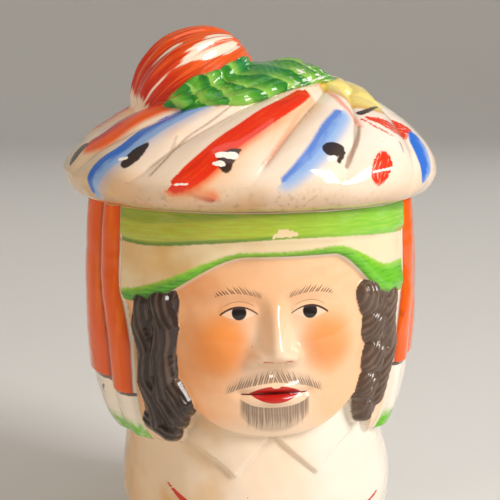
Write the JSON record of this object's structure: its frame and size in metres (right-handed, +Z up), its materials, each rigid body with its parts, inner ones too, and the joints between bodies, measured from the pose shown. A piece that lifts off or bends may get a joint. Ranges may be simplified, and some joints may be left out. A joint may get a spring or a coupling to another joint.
{
  "type": "figural tobacco jar",
  "caption": "Glazed pottery jar shaped as a turbaned head and shoulders, hollow, with a lift-off turban lid that seats in its mouth.",
  "frame": {"origin": "on the flat underside, below the middle of the head", "axes": "+Z up, the face looks along -Y, +X to the right of someone looking at the face"},
  "size_m": [0.1393, 0.1323, 0.1997],
  "materials": {
    "glazed_jar": "glossy clear glaze over cream earthenware, hand painted in orange, green, brown and flesh",
    "glazed_lid": "glossy clear glaze over cream earthenware, hand painted with red, blue, orange, yellow and green strokes"
  },
  "bodies": {
    "root": {"head_jar": "glazed_jar", "turban_lid": "glazed_lid"}
  },
  "joints": []
}
